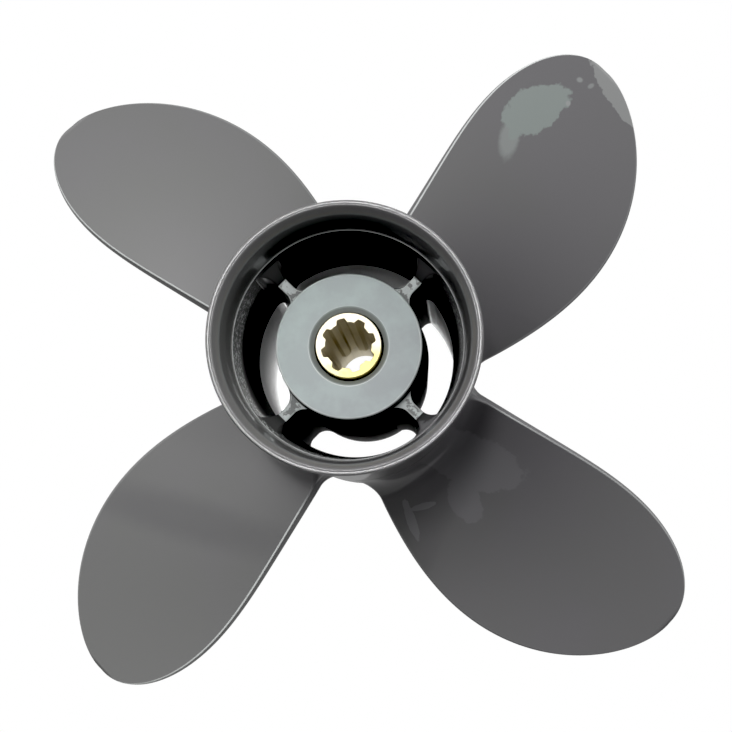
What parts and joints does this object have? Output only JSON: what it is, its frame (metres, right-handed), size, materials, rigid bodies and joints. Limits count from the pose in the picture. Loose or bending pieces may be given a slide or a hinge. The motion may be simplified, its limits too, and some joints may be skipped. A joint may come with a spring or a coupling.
{
  "type": "outboard propeller",
  "caption": "Small marine propeller with raked blades on a round barrel, exhaust passages through its hub, and a splined sleeve in a rubber cushion.",
  "frame": {"origin": "centre of the barrel's flat front end, which the propeller stands on", "axes": "+Z along the shaft's axis, from the front end to the aft rim; +X and +Y point between the ribs, at the middles of two exhaust passages"},
  "size_m": [0.1888, 0.1888, 0.108],
  "materials": {
    "paint": "glossy grey paint on cast aluminium",
    "rubber": "dark moulded rubber",
    "brass": "machined brass"
  },
  "bodies": {
    "root": {"outer_barrel": "paint", "inner_hub": "paint", "rib_1": "paint", "rib_2": "paint", "rib_3": "paint", "rib_4": "paint", "blade_1": "paint", "blade_2": "paint", "blade_3": "paint", "blade_4": "paint", "drive_bushing": "rubber", "splined_sleeve": "brass"}
  },
  "joints": []
}
